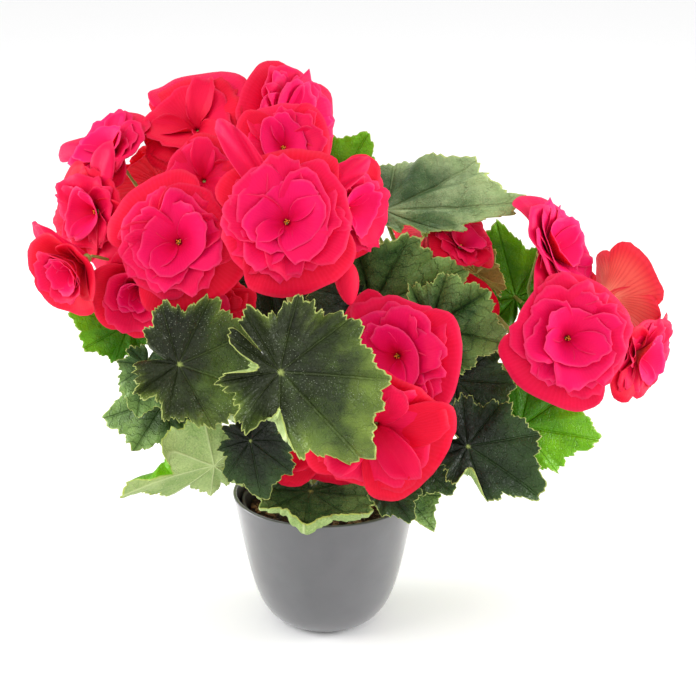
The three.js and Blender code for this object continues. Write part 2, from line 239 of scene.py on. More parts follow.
# How far into a main vein, a side vein and the fine net a point of a leaf is, and how far out
def leafVeins(paint):
    vein = veinShape
    around, out = paint.uv()
    turn = (around - 0.5) / veinShare + 0.5
    off = abs(turn.frac() - 0.5) * (veinShare * fullTurn) * out
    main = 1 - off.step(*vein["main"])
    along = (out - off * vein["side slant"]) * vein["side count"]
    rungs = (along + paint.cloud(*vein["side cloud"])).frac()
    side = (1 - abs(rungs - 0.5).step(*vein["side"])) * out.step(*vein["side start"])
    net = 1 - paint.cells(vein["net scale"], "DISTANCE_TO_EDGE").step(*vein["net"])
    return main, side, net, out


def leafRim(paint, out, fade):
    return (out + paint.cloud(*veinShape["rim cloud"])).step(*fade)


# Colours of a leaf: the painted shade at its heart, its lower and upper tones, the painted light on its
# edge, its veins, and how many painted glints it shows
leafLooks = {
    # Darker copy of the colours for leaves that sit deep in the plant's shade: painted shade
    "shade": {
        "paintedHeartShade": 0.55, "heart": (14, 18, 11), "low": (18, 30, 14), "high": (42, 62, 30),
        "edge": (60, 88, 40), "vein": (70, 92, 56), "vein share": 0.2, "pucker": 0.3, "paintedGlints": 0.1,
    },
    "dark": {
        "paintedHeartShade": 0.42, "heart": (27, 29, 19), "low": (34, 48, 20), "high": (84, 106, 44),
        "edge": (126, 148, 60), "vein": (112, 128, 78), "vein share": 0.16, "pucker": 0.25, "paintedGlints": 0.55,
    },
    # Its veins are darker than the blade: painted shade in the creases along them
    "mid": {
        "paintedHeartShade": 0.7, "heart": (36, 58, 26), "low": (34, 66, 26), "high": (114, 146, 78),
        "edge": (124, 156, 78), "vein": (44, 72, 36), "vein share": 0.3, "pucker": 0.5, "paintedGlints": 0.15,
    },
    # A pale leaf whose dark heart is painted shade
    "pale with painted shade": {
        "paintedHeartShade": 0.42, "heart": (30, 62, 26), "low": (84, 116, 62), "high": (166, 186, 134),
        "edge": (160, 184, 118), "vein": (140, 160, 108), "vein share": 0.3, "pucker": 0.3, "paintedGlints": 0.15,
    },
    "bright": {
        "paintedHeartShade": 0.7, "heart": (54, 114, 0), "low": (48, 108, 0), "high": (98, 160, 0),
        "edge": (112, 176, 6), "vein": (82, 142, 6), "vein share": 0.25, "pucker": 0.12, "paintedGlints": 0.0,
    },
}
leafFinish = {
    "specular": 0.2,
    "roughness": 0.46,
    "gloss cloud": (0.16, 40),
    # How the painted shade over a leaf's heart is spread
    "heart shade cloud": (1.8, 18, 5, 0.65),
    "heart shade towards notch": 1.3,
    "heart shade held back": 0.25,
    "heart shade fade": (0.2, 0.8),
    "heart shade share": 0.85,
    "mottle cloud": (0.7, 30, 4, 0.6),
    "grain cloud": (0.3, 1500, 2, 0.7),
    "tone fade": (0.36, 0.64),
    # How the painted light on a leaf's edges is spread
    "lit noise": (40, 3),
    "lit away from notch": 0.6,
    "lit held back": 0.35,
    "lit fade": (0.72, 1.2),
    "lit share": 0.6,
    # Painted glints: small pale specks in patches
    "glint scale": 760,
    "glint fade": (0.24, 0.05),
    "glint patches": (45, 3),
    "glint patch fade": (0.42, 0.56),
    "glint colour": (186, 196, 168),
    "main vein": 0.9,
    "side vein": 0.6,
    "hub fade": (0.012, 0.06),
    "hub share": 0.7,
    "hub colour": (170, 186, 100),
    "rim fade": (0.986, 0.996),
    "rim share": 0.75,
    "rim colour": (178, 190, 104),
    "quilt cloud": (2, 75, 3),
    "quilt main vein": 0.6,
    "quilt net": 0.14,
    "bump": (0.0016, 0.9),
}


def leafMaterial(name, look):
    made = leafFinish
    paint = Paint(f"leaf {name}", Specular_IOR_Level=made["specular"])
    main, side, net, out = leafVeins(paint)
    away = abs(paint.uv()[0] - 0.5)  # 0 towards the tip, 0.5 beside the notch

    # From painted shade at the heart to painted light on the edges, over a mottled ground
    cloud = paint.cloud(*made["heart shade cloud"]) - out * look["paintedHeartShade"]
    paintedHeartShade = cloud + away * made["heart shade towards notch"] - made["heart shade held back"]
    mottle = paint.cloud(*made["mottle cloud"]) + paint.cloud(*made["grain cloud"])
    base = paint.mix(mottle.step(*made["tone fade"]), look["low"], look["high"])
    withHeartShade = paint.mix(paintedHeartShade.step(*made["heart shade fade"]) * made["heart shade share"], base, look["heart"])
    # Painted light: the leaf's edges, away from its notch, are lighter
    lit = out + paint.noise(*made["lit noise"]) - away * made["lit away from notch"]
    litShare = (lit - made["lit held back"]).step(*made["lit fade"]) * made["lit share"]
    shaded = paint.mix(litShare, withHeartShade, look["edge"])

    # Painted glints as pale specks in patches, veins, the pale point where they meet, and the pale rim
    paintedGlints = paint.cells(made["glint scale"], "F1").step(*made["glint fade"])
    patches = paint.noise(*made["glint patches"]).step(*made["glint patch fade"])
    withGlints = paint.mix(paintedGlints * patches * look["paintedGlints"], shaded, made["glint colour"])
    veins = (main * made["main vein"]).most(side * made["side vein"]) * look["vein share"]
    veined = paint.mix(veins, withGlints, look["vein"])
    hub = 1 - out.step(*made["hub fade"])
    centred = paint.mix(hub * made["hub share"], veined, made["hub colour"])
    rim = leafRim(paint, out, made["rim fade"])
    edged = paint.mix(rim * made["rim share"], centred, made["rim colour"])

    quilt = paint.cloud(*made["quilt cloud"]) - main * made["quilt main vein"]
    paint.bump(quilt - side * look["pucker"] - net * made["quilt net"], *made["bump"])
    roughness = made["roughness"] - paint.cloud(*made["gloss cloud"])
    return paint.finish(Base_Color=edged, Roughness=roughness)


undersideLooks = {
    "pale": {"low": (120, 150, 78), "high": (178, 196, 126), "vein": (200, 214, 154)},
    "olive": {"low": (98, 92, 34), "high": (150, 138, 60), "vein": (176, 160, 80)},
}
undersideFinish = {
    "specular": 0.35,
    "roughness": 0.6,
    "mottle cloud": (0.6, 30, 3),
    "grain cloud": (0.4, 900, 2),
    "tone fade": (0.3, 0.7),
    "main vein": 0.9,
    "side vein": 0.7,
    "vein share": 0.6,
    "rim fade": (0.98, 0.995),
    "rim share": 0.6,
    "rim colour": (180, 190, 70),
    "side vein height": 0.8,
    "net height": 0.2,
    "bump": (0.0008, 0.7),
}


def undersideMaterial(name, look):
    made = undersideFinish
    paint = Paint(f"underside {name}", Roughness=made["roughness"], Specular_IOR_Level=made["specular"])
    main, side, net, out = leafVeins(paint)
    mottle = paint.cloud(*made["mottle cloud"]) + paint.cloud(*made["grain cloud"])
    base = paint.mix(mottle.step(*made["tone fade"]), look["low"], look["high"])
    veins = (main * made["main vein"]).most(side * made["side vein"]) * made["vein share"]
    veined = paint.mix(veins, base, look["vein"])
    rim = leafRim(paint, out, made["rim fade"])
    edged = paint.mix(rim * made["rim share"], veined, made["rim colour"])
    height = main.most(side * made["side vein height"]) + net * made["net height"]
    paint.bump(height, *made["bump"])
    return paint.finish(Base_Color=edged)


petalVein = {
    "cloud": (1.4, 30, 2),
    "fade": (0.05, 0.34),
    "start": (0.1, 0.5),
}


# Fine lines that fan out from a petal's root
def petalVeins(paint, count):
    across, along = paint.uv()
    lines = (abs(across - 0.5) * count + paint.cloud(*petalVein["cloud"])).frac()
    veins = (1 - abs(lines - 0.5).step(*petalVein["fade"])) * along.step(*petalVein["start"])
    return veins, along


petalFinish = {
    "specular": 0.12,
    "roughness": 0.66,
    "gloss cloud": (0.14, 30),
    "red": (212, 2, 42),
    "pink": (226, 8, 92),
    # Painted shade towards each petal's root, and the petal's own deeper patches, share one colour
    "patch and root shade colour": (198, 2, 40),
    "painted root shade fade": (0.35, 0.95),
    "painted root shade": 0.6,
    "deep noise": (35, 2),
    "deep patch fade": (0.45, 0.7),
    "deep patches": 0.25,
    "veins": 60,
    "vein colour": (250, 50, 104),
    "vein share": 0.06,
    "rim colour": (250, 110, 150),
    "rim fade": (0.94, 1.0),
    "rim share": 0.06,
    "rim share with tone": 0.12,
    "vein height": 0.12,
    "crease noise": (240, 3),
    "wave cloud": (2.5, 60, 2),
    "bump": (0.0005, 0.4),
}


def petalMaterial():
    made = petalFinish
    paint = Paint("petal face", Specular_IOR_Level=made["specular"])
    veins, along = petalVeins(paint, made["veins"])
    tone = paint.attribute("tone")  # 0 on a red petal, 1 on a pink one
    warm = paint.mix(tone, made["red"], made["pink"])
    # Painted shade deepens the colour towards each petal's root inside the flower; the deeper patches are
    # the petal's own uneven tone
    root = (1 - along).step(*made["painted root shade fade"]) * made["painted root shade"]
    patches = paint.noise(*made["deep noise"]).step(*made["deep patch fade"]) * made["deep patches"]
    shaded = paint.mix(root + patches, warm, made["patch and root shade colour"])
    veined = paint.mix(veins * made["vein share"], shaded, made["vein colour"])
    rimShare = tone * made["rim share with tone"] + made["rim share"]
    edged = paint.mix(along.step(*made["rim fade"]) * rimShare, veined, made["rim colour"])
    creases = veins * made["vein height"] + paint.noise(*made["crease noise"])
    paint.bump(creases + paint.cloud(*made["wave cloud"]), *made["bump"])
    roughness = made["roughness"] - paint.cloud(*made["gloss cloud"])
    return paint.finish(Base_Color=edged, Roughness=roughness)


petalBackLooks = {
    "red": {"root": (214, 40, 60), "middle": (226, 20, 52), "rim": (232, 14, 48)},
    "salmon": {"root": (244, 150, 120), "middle": (236, 96, 84), "rim": (230, 40, 60)},
}
petalBackFinish = {
    "specular": 0.25,
    "roughness": 0.6,
    "veins": 30,
    "vein colour": (212, 24, 52),
    "vein share": 0.3,
    "middle fade": (0.1, 0.55),
    "rim fade": (0.6, 0.98),
    "crease cloud": (0.6, 200, 2),
    "bump": (0.0005, 0.5),
}


def petalBackMaterial(name, look):
    made = petalBackFinish
    paint = Paint(f"petal back {name}", Roughness=made["roughness"], Specular_IOR_Level=made["specular"])
    veins, along = petalVeins(paint, made["veins"])
    low = paint.mix(along.step(*made["middle fade"]), look["root"], look["middle"])
    whole = paint.mix(along.step(*made["rim fade"]), low, look["rim"])
    veined = paint.mix(veins * made["vein share"], whole, made["vein colour"])
    paint.bump(veins + paint.cloud(*made["crease cloud"]), *made["bump"])
    return paint.finish(Base_Color=veined)


eyeFinish = {
    "roughness": 0.6,
    "noise": (900, 2),
    "orange": (232, 120, 20),
    "yellow": (250, 206, 60),
}


def eyeMaterial():
    made = eyeFinish
    paint = Paint("flower eye", Roughness=made["roughness"])
    return paint.finish(Base_Color=paint.mix(paint.noise(*made["noise"]), made["orange"], made["yellow"]))


stemFinish = {
    "specular": 0.4,
    "roughness": 0.45,
    "roughness change": 0.15,
    "green noise": (22, 2),
    "green fade": (0.35, 0.65),
    "green": (96, 124, 44),
    "straw": (166, 172, 84),
    "streak noise": (60, 3),
    "blush fade": (0.52, 0.72),
    "blush share": 0.6,
    "blush": (150, 74, 48),
    "woody heights": (0.07, 0.12),  # above the floor, in metres
    "woody share": 0.5,
    "woody": (92, 70, 34),
    "grain noise": (500, 2),
    "bump": (0.0003, 0.5),
}


def stemMaterial():
    made = stemFinish
    paint = Paint("stem", Specular_IOR_Level=made["specular"])
    streak = paint.noise(*made["streak noise"])
    young = paint.noise(*made["green noise"]).step(*made["green fade"])
    green = paint.mix(young, made["green"], made["straw"])
    red = paint.mix(streak.step(*made["blush fade"]) * made["blush share"], green, made["blush"])
    low = 1 - paint.parts(paint.place())[2].step(*made["woody heights"])
    whole = paint.mix(low * made["woody share"], red, made["woody"])
    paint.bump(paint.noise(*made["grain noise"]), *made["bump"])
    return paint.finish(Base_Color=whole, Roughness=made["roughness"] + streak * made["roughness change"])


glazeFinish = {
    "ior": 1.5,
    "coat": {"Coat_Weight": 1.0, "Coat_Roughness": 0.1, "Coat_IOR": 1.45},
    "broad cloud": (0.6, 9, 3),
    "mottle cloud": (0.4, 60, 2),
    "tone fade": (0.3, 0.7),
    "dark": (76, 76, 79),
    "pale": (86, 86, 89),
    "wave cloud": (0.6, 140, 2),
    "grain cloud": (0.1, 1400, 2),
    "bump": (0.0004, 0.25),
    "roughness": 0.3,
    "dull cloud": (0.12, 50, 2),
}


def potMaterial():
    made = glazeFinish
    paint = Paint("grey glaze", IOR=made["ior"], **made["coat"])
    tone = paint.cloud(*made["broad cloud"]) + paint.cloud(*made["mottle cloud"])
    grey = paint.mix(tone.step(*made["tone fade"]), made["dark"], made["pale"])
    paint.bump(paint.cloud(*made["wave cloud"]) + paint.cloud(*made["grain cloud"]), *made["bump"])
    roughness = made["roughness"] + paint.cloud(*made["dull cloud"])
    return paint.finish(Base_Color=grey, Roughness=roughness)


plasticFinish = {
    "specular": 0.4,
    "roughness": 0.45,
    "roughness change": 0.3,
    "dust noise": (120, 4),
    "dust fade": (0.5, 0.75),
    "dust share": 0.4,
    "plastic": (36, 33, 31),
    "dust": (88, 74, 58),
    "grain noise": (700, 2),
    "bump": (0.0002, 0.4),
}


def plasticMaterial():
    made = plasticFinish
    paint = Paint("nursery plastic", Specular_IOR_Level=made["specular"])
    dust = paint.noise(*made["dust noise"]).step(*made["dust fade"])
    whole = paint.mix(dust * made["dust share"], made["plastic"], made["dust"])
    paint.bump(paint.noise(*made["grain noise"]), *made["bump"])
    return paint.finish(Base_Color=whole, Roughness=made["roughness"] + dust * made["roughness change"])


soilFinish = {
    "specular": 0.2,
    "roughness": 0.95,
    "grain noise": (500, 4, 0.7),
    "grain fade": (0.35, 0.7),
    "dark": (24, 16, 11),
    "pale": (78, 55, 38),
    "fibre noise": (220, 2),
    "fibre fade": (0.62, 0.7),
    "fibre share": 0.6,
    "fibre": (122, 92, 60),
    "lump noise": (160, 3),
    "bump": (0.0014, 0.9),
}


def soilMaterial():
    made = soilFinish
    paint = Paint("potting soil", Roughness=made["roughness"], Specular_IOR_Level=made["specular"])
    grain = paint.noise(*made["grain noise"])
    dark = paint.mix(grain.step(*made["grain fade"]), made["dark"], made["pale"])
    fibres = paint.noise(*made["fibre noise"]).step(*made["fibre fade"])
    paint.bump(grain + paint.noise(*made["lump noise"]), *made["bump"])
    return paint.finish(Base_Color=paint.mix(fibres * made["fibre share"], dark, made["fibre"]))


chipFinish = {
    "roughness": 0.9,
    "noise": (90, 2),
    "fade": (0.4, 0.62),
    "bark": (48, 33, 23),
    "straw": (146, 112, 74),
}


def chipMaterial():
    made = chipFinish
    paint = Paint("soil chips", Roughness=made["roughness"])
    dry = paint.noise(*made["noise"]).step(*made["fade"])
    return paint.finish(Base_Color=paint.mix(dry, made["bark"], made["straw"]))


leafMaterials = {name: leafMaterial(name, look) for name, look in leafLooks.items()}
undersides = {name: undersideMaterial(name, look) for name, look in undersideLooks.items()}
petalBacks = {name: petalBackMaterial(name, look) for name, look in petalBackLooks.items()}
materials = {
    "petal": petalMaterial(),
    "eye": eyeMaterial(),
    "stem": stemMaterial(),
    "pot": potMaterial(),
    "plastic": plasticMaterial(),
    "soil": soilMaterial(),
    "chips": chipMaterial(),
}
print("materials made")


def mergeDoubles(bm):
    bmesh.ops.remove_doubles(bm, verts=bm.verts, dist=1e-6)


# Turns a bmesh into a smooth object
def addMesh(name, bm, made):
    for face in bm.faces:
        face.smooth = True
    mesh = bpy.data.meshes.new(name)
    bm.to_mesh(mesh)
    bm.free()
    for material in made:
        mesh.materials.append(material)
    return addObject(name, mesh)


# Turns a bmesh into a piece that rides with the plant and stands for its solid
def addPiece(name, bm, node, made):
    piece = addMesh(name, bm, made)
    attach(piece, "root")
    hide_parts(node)
    return piece


# A thin sheet with a face, and a back of its own material
def thicken(piece, thickness):
    shell = piece.modifiers.new("thickness", "SOLIDIFY")
    shell.thickness = thickness
    shell.offset = 0
    shell.material_offset = 1
    shell.use_even_offset = False


# The faces that were added to a bmesh after a count of it get its second material
def secondMaterial(bm, count):
    bm.faces.ensure_lookup_table()
    for face in bm.faces[count:]:
        face.material_index = 1


# Pots and soil

# Profiles are radius and height, but the lip is how far in and down from the rim
potShape = {
    "rim radius": 0.056,
    "height": 0.084,
    "lip": [(0.0004, 0.002), (0, 0.0006), (0.0008, 0), (0.0022, 0), (0.003, 0.0008)],
    "outer": [
        (0, 0), (0.0225, 0), (0.024, 0.0003), (0.032, 0.004),
        (0.0395, 0.013), (0.045, 0.028), (0.05, 0.05),
    ],
    "inner": [(0.047, 0.05), (0.042, 0.029), (0.037, 0.015), (0.028, 0.0062), (0.019, 0.0042), (0, 0.004)],
    "segments": 48,
    "rounding": 2,
}
nurseryShape = {
    "outer": [
        (0, 0.0105), (0.031, 0.0105), (0.0322, 0.0117),
        (0.0488, 0.0728), (0.0508, 0.0742), (0.0508, 0.0785),
    ],
    "inner": [(0.0502, 0.079), (0.048, 0.079), (0.0476, 0.0705), (0.0308, 0.0118), (0, 0.0117)],
    "segments": 48,
    "rounding": 2,
}


# A profile turned once round the Z axis
def spunProfile(profile, segments):
    bm = bmesh.new()
    verts = [bm.verts.new((r, 0, z)) for r, z in profile]
    edges = [bm.edges.new(pair) for pair in zip(verts, verts[1:])]
    bmesh.ops.spin(
        bm, geom=verts + edges, axis=(0, 0, 1), cent=(0, 0, 0),
        angle=fullTurn, steps=segments, use_merge=True,
    )
    mergeDoubles(bm)
    bmesh.ops.recalc_face_normals(bm, faces=bm.faces)
    return bm


def makePot(name, node, shape, profile, material):
    bm = spunProfile(profile, shape["segments"])
    rounding = addPiece(name, bm, node, [material]).modifiers.new("rounding", "SUBSURF")
    rounding.levels = rounding.render_levels = shape["rounding"]


def makePots():
    rim, top = potShape["rim radius"], potShape["height"]
    lip = [(rim - inset, top - drop) for inset, drop in potShape["lip"]]
    makePot("coverPot", "pot", potShape, potShape["outer"] + lip + potShape["inner"], materials["pot"])
    profile = nurseryShape["outer"] + nurseryShape["inner"]
    makePot("nurseryPot", "nursery_pot", nurseryShape, profile, materials["plastic"])


soilShape = {
    "foot": 0.0121,
    "foot radius": 0.0298,
    "shoulder": 0.0675,
    "top": 0.0715,
    "radius": 0.0455,
    "crown radius": 0.0124,
    "crown floor": 0.0574,
    "rings": 22,
    "segments": 110,
    "lump scale": 160,
    "lump roughness": (0.8, 2, 4),  # how smooth, how much finer each layer is, and the layers
    "lump height": 0.0013,
    "grit scale": 700,
    "grit height": 0.0008,
}
chipShape = {
    "seed": 4,
    "count": 420,
    "radius": (0.0006, 0.0017),
    "edge": 0.002,  # kept clear at the crown and at the wall
    "raised": 0.3,
    "length": (1, 2.2),
    "flatness": (0.3, 0.9),
    "tumble": 6,  # in radians
}


def soilProfile(shape):
    foot, outer, inner = shape["foot"], shape["radius"], shape["crown radius"]
    profile = [(0, foot), (shape["foot radius"], foot), (outer, shape["shoulder"])]
    for i in range(shape["rings"] + 1):
        share = i / shape["rings"]
        profile.append((outer - share * (outer - inner), shape["top"]))
    return profile + [(inner, shape["crown floor"]), (0, shape["crown floor"])]


def addChip(bm, shape):
    inner, outer = soilShape["crown radius"] + shape["edge"], soilShape["radius"] - shape["edge"]
    angle = random.uniform(0, fullTurn)
    out = math.sqrt(random.uniform(inner**2, outer**2))
    size = random.uniform(*shape["radius"])
    height = soilShape["top"] + shape["raised"] * size
    place = Matrix.Translation((out * math.cos(angle), out * math.sin(angle), height))
    spin = Matrix.Rotation(random.uniform(0, shape["tumble"]), 4, "Z")
    tilt = Matrix.Rotation(random.uniform(0, shape["tumble"]), 4, "X")
    flat = Matrix.Diagonal((random.uniform(*shape["length"]), 1, random.uniform(*shape["flatness"]), 1))
    bmesh.ops.create_icosphere(bm, subdivisions=1, radius=size, matrix=place @ spin @ tilt @ flat)


def makeSoil():
    shape = soilShape
    random.seed(chipShape["seed"])
    bm = spunProfile(soilProfile(shape), shape["segments"])
    for vert in bm.verts:
        if vert.co.z > shape["top"] - mm:
            lump = noise.fractal(vert.co * shape["lump scale"], *shape["lump roughness"])
            grit = noise.noise(vert.co * shape["grit scale"])
            vert.co.z += shape["lump height"] * lump + shape["grit height"] * grit
    ground = len(bm.faces)
    for _ in range(chipShape["count"]):
        addChip(bm, chipShape)
    secondMaterial(bm, ground)
    addPiece("soilBed", bm, "soil", [materials["soil"], materials["chips"]])


makePots()
makeSoil()
print("pots and soil made")


# Stems: the grown tangle, rounded

stemShape = {"voxel": 0.0008, "smoothing": 6, "smoothing factor": 0.5}


def makeStems():
    bm = bmesh.new()
    bm.from_mesh(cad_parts["stems"].data)
    mergeDoubles(bm)
    stems = addPiece("stemTangle", bm, "stems", [materials["stem"]])
    grain = stems.modifiers.new("grain", "REMESH")
    grain.mode = "VOXEL"
    grain.voxel_size = stemShape["voxel"]
    grain.use_smooth_shade = True
    rounding = stems.modifiers.new("rounding", "SMOOTH")
    rounding.iterations = stemShape["smoothing"]
    rounding.factor = stemShape["smoothing factor"]
    shaped = stems.evaluated_get(bpy.context.evaluated_depsgraph_get())
    mesh = bpy.data.meshes.new_from_object(shaped)
    stems.modifiers.clear()
    stems.data = mesh


makeStems()
print("stems made")


# Leaves

# Heights and depths are shares of the leaf's length, from its stalk to its tip
leafShape = {
    "thickness": 0.0005,
    "rows": 9,
    "columns": 324,
    "small columns": 216,
    "skew": 0.15,
    "broad": 1,
    "cup": 0.12,
    "fold": 0.08,
    "wave": 0.06,
    "ripple": 0.03,
    "frill": 0.026,
    "droop": 0.25,
    "pleat": 0.034,
    "pucker": 0.035,
    "pucker scale": 6,
    "notch": 0.3,
    "curls": [],  # degrees from the tip, width in degrees, and how many degrees the edge rolls
    "curl start": 0.55,
    "look": "mid",
    "under": "pale",
}
leafOutline = {
    "size": 0.58,
    "to tip": 0.28,
    "to both ends": 0.1,
    "tip": 0.14,
    "tip width": 0.24,
    "lobes": 0.05,
    "unevenness": 0.05,
    "unevenness scale": 1.8,
    "teeth": 27,
    "tooth depth": 0.06,
    "tooth sway": 0.4,
    "fine tooth depth": 0.034,
    "fine tooth columns": 4,
    "notch depth": 0.72,
}
# Stalk end and tip in millimetres, then the azimuth and elevation that the upper face looks in
leaves = [
    {"at": (-22, -105, 195), "tip": (25, -102, 140), "face": (0, 22), "look": "dark", "notch": 0.03,
     "curl start": 0.42, "curls": [(-52, 19, 190), (-151, 15, 165)]},
    {"at": (-78, -78, 190), "tip": (-22, -72, 168), "face": (-5, 20), "look": "dark",
     "curls": [(20, 18, 70)]},
    {"at": (-33, 13, 215), "tip": (-27, 9, 162), "face": (0, 10), "look": "shade", "broad": 0.85},
    {"at": (28, -10, 203), "tip": (82, -14, 224), "face": (10, 12), "pleat": 0.09},
    {"at": (61, -33, 197), "tip": (107, -29, 187), "face": (15, 20), "pleat": 0.13},
    {"at": (35, 24, 251), "tip": (117, 14, 263), "face": (5, 62), "look": "pale with painted shade",
     "broad": 0.65, "skew": 0.33, "pleat": 0.06},
    {"at": (9, 56, 260), "tip": (26, 60, 291), "face": (0, 20), "look": "bright", "broad": 1.15},
    {"at": (92, 42, 208), "tip": (62, 40, 246), "face": (160, 35), "under": "olive", "broad": 0.5},
    {"at": (118, 62, 187), "tip": (106, 60, 234), "face": (0, 25), "look": "bright"},
    {"at": (81, -62, 136), "tip": (124, -75, 113), "face": (10, 35), "look": "shade",
     "curls": [(-60, 16, 178)]},
    {"at": (115, -20, 132), "tip": (164, -15, 122), "face": (10, 25), "look": "bright"},
    {"at": (76, -26, 163), "tip": (106, -32, 133), "face": (10, 20), "look": "shade"},
    {"at": (52, -36, 116), "tip": (76, -46, 101), "face": (15, 20), "look": "shade"},
    {"at": (44, -35, 97), "tip": (65, -50, 83), "face": (30, 50)},
    {"at": (35, -51, 107), "tip": (51, -66, 93), "face": (10, 40), "look": "shade"},
    {"at": (-8, -36, 98), "tip": (-12, -72, 79), "face": (0, 63), "broad": 1.7,
     "curl start": 0.68, "curls": [(0, 75, 150)]},
    {"at": (-41, -60, 139), "tip": (-35, -62, 102), "face": (-5, 15), "look": "shade"},
    {"at": (-63, -44, 117), "tip": (-117, -56, 112), "face": (170, 30), "look": "bright",
     "curl start": 0.62, "curls": [(34, 12, -165)]},
    {"at": (-90, -40, 156), "tip": (-128, -40, 144), "face": (-15, 15)},
    {"at": (-112, -20, 195), "tip": (-146, -22, 204), "face": (-20, 20), "look": "bright"},
    {"at": (-99, -50, 180), "tip": (-106, -54, 150), "face": (-10, 10)},
    {"at": (-60, 44, 190), "tip": (-120, 74, 180), "face": (200, 50)},
    {"at": (5, 66, 190), "tip": (-4, 124, 178), "face": (180, 50), "look": "dark"},
    {"at": (60, 62, 186), "tip": (84, 118, 178), "face": (170, 50)},
    {"at": (90, 52, 150), "tip": (150, 80, 150), "face": (150, 50)},
    {"at": (-60, 44, 113), "tip": (-100, 90, 98), "face": (200, 40)},
    {"at": (16, 60, 116), "tip": (20, 118, 98), "face": (180, 40), "look": "dark"},
    {"at": (66, 46, 112), "tip": (108, 90, 96), "face": (150, 40)},
    # The last leaf, under the two front flowers, fills a dark gap there in the darkest leaf colours:
    # painted shade
    {"at": (15, -25, 212), "tip": (-14, -44, 205), "face": (0, 45), "look": "shade",
     "curls": [(60, 30, 80)]},
]
smallLeaf = 0.045  # a leaf shorter than this gets fewer columns
phaseStep = 77  # degrees that one leaf's waves are turned from the last one's
edgeCrowding = 1.35  # how much closer together the rows of a leaf's grid are at its edge
straight = 0.001  # a turn in radians that is too small to bend an edge


# How far a leaf reaches at an angle from its tip, as a share of its length:
# a lopsided heart with lobes at its main veins, and teeth
def leafReach(leaf, angle, phase, columns):
    line = leafOutline
    swell = 1 + line["to tip"] * math.cos(angle) + line["to both ends"] * math.cos(2 * angle)
    heart = line["size"] * swell * (1 + leaf["skew"] * math.sin(angle))
    tip = line["tip"] * math.exp(-((angle / line["tip width"]) ** 2))
    lobes = line["lobes"] * math.cos(angle / math.radians(veinSpacing) * fullTurn)
    uneven = line["unevenness"] * noise.noise(Vector((line["unevenness scale"] * angle, phase, 0)))
    turns = angle / fullTurn
    sway = line["tooth sway"] * math.sin(3 * angle + phase)
    tooth = 0.5 - 2 * abs((line["teeth"] * turns + sway) % 1 - 0.5)
    fine = (columns / line["fine tooth columns"] * turns) % 1 - 0.5
    teeth = line["tooth depth"] * tooth + line["fine tooth depth"] * fine
    notch = 1 - line["notch depth"] * math.exp(-(((math.pi - abs(angle)) / leaf["notch"]) ** 2))
    return (heart + tip + lobes + uneven + teeth) * notch


# How far the rolled edges of a leaf draw a point in and lift it
def leafCurl(leaf, out, angle, full):
    drawn, lift = 0, 0
    rolled = max(0, out - leaf["curl start"])
    past = rolled * full
    for at, width, roll in leaf["curls"]:
        off = math.remainder(angle - math.radians(at), fullTurn)
        bend = math.radians(roll) * math.exp(-((off / math.radians(width)) ** 2))
        turn = bend * rolled / (1 - leaf["curl start"])
        if abs(turn) > straight:
            drawn += past * (1 - math.sin(turn) / turn)
            lift += past * (1 - math.cos(turn)) / turn
    return drawn, lift


# A leaf's point a share of the way out at an angle, in its own frame: x to the tip, z up.
# Round its edge stand 3 broad waves, 7 ripples and 17 frills
def leafPoint(leaf, out, angle, phase, columns):
    full = leafReach(leaf, angle, phase, columns)
    drawn, lift = leafCurl(leaf, out, angle, full)
    reach = out * full - drawn
    x, y = reach * math.cos(angle), leaf["broad"] * reach * math.sin(angle)
    cup = leaf["cup"] * reach**2 + leaf["fold"] * abs(y) * out
    droop = leaf["droop"] * max(0, x) ** 2
    wave = leaf["wave"] * out**2 * math.sin(3 * angle + phase)
    ripple = leaf["ripple"] * out**3 * math.sin(7 * angle + 2 * phase)
    frill = leaf["frill"] * out**4 * math.sin(17 * angle + 3 * phase) * (1 + 0.5 * math.sin(5 * angle))
    ridge = abs(math.sin(math.pi * angle / math.radians(veinSpacing))) - 0.5
    pleat = leaf["pleat"] * ridge * min(1, 2 * out)
    scale = leaf["pucker scale"]
    pucker = leaf["pucker"] * out * noise.noise(Vector((scale * x, scale * y, phase)))
    return Vector((x, y, lift + cup - droop + wave + ripple + frill + pleat + pucker))


def leafFrame(leaf):
    base = Vector(leaf["at"]) * mm
    x = Vector(leaf["tip"]) * mm - base
    length = x.length
    x.normalize()
    z = facing(*leaf["face"])
    z = (z - x * z.dot(x)).normalized()
    y = z.cross(x)
    axes = Matrix((x, y, z)).transposed().to_4x4()
    return Matrix.Translation(base) @ axes @ Matrix.Scale(length, 4), length


# The share of the way out for a height in a leaf's grid
def wayOut(height):
    return 1 - (0.5 - height) ** edgeCrowding


def makeLeaf(number, leaf):
    place, length = leafFrame(leaf)
    columns = leaf["columns"] if length > smallLeaf else leaf["small columns"]
    phase = math.radians(phaseStep * (number - 1))
    bm = bmesh.new()
    uv = bm.loops.layers.uv.new("UVMap")
    bmesh.ops.create_grid(bm, x_segments=columns, y_segments=leaf["rows"], size=0.5)
    for face in bm.faces:
        for loop in face.loops:
            loop[uv].uv = (loop.vert.co.x + 0.5, wayOut(loop.vert.co.y))
    for vert in bm.verts:
        angle = -vert.co.x * fullTurn
        vert.co = place @ leafPoint(leaf, wayOut(vert.co.y), angle, phase, columns)
    mergeDoubles(bm)
    made = [leafMaterials[leaf["look"]], undersides[leaf["under"]]]
    piece = addPiece(f"leaf{number:02d}", bm, f"leaf_{number:02d}", made)
    thicken(piece, leaf["thickness"])


for number, leaf in enumerate(leaves, 1):
    makeLeaf(number, {**leafShape, **leaf})
print("leaves made")


# Flowers

petalShape = {
    "thickness": 0.0004,
    "rows": 8,
    "columns": 34,
    "start": 0.001,
    "taper": 0.75,
    "shut": 0.93,  # how much of a circle its rays fill
    "lean": 0.1,
    "tear scales": (2.6, 5),
    "fold scales": (1.3, 0.6),
}
